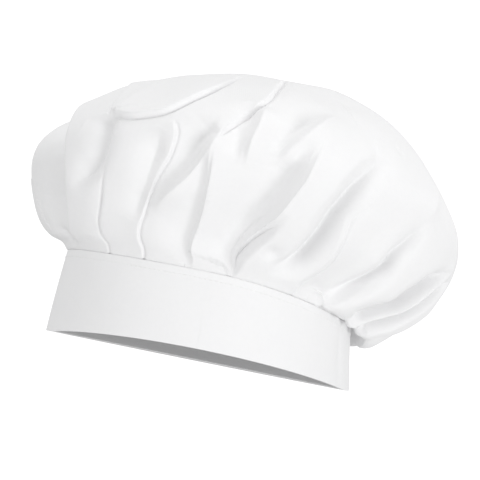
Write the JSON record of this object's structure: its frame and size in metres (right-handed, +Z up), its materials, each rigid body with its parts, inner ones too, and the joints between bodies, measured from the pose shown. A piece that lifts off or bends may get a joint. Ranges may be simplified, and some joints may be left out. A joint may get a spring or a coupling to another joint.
{
  "type": "chef hat",
  "caption": "Soft white cotton chef hat: an upright folded band, and a low, full crown gathered into it in pleats that slouches to one side.",
  "frame": {"origin": "On the surface that the hat stands on, under the middle of its bounding box.", "axes": "+Z up, from the rim to the top of the crown. The front faces -Y. The crown slouches towards +X, the hat's longest way."},
  "size_m": [0.289, 0.254, 0.1885],
  "materials": {
    "band": "matt white cotton twill",
    "crown": "matt white cotton twill"
  },
  "bodies": {
    "root": {"band": "band", "crown": "crown"}
  },
  "joints": []
}
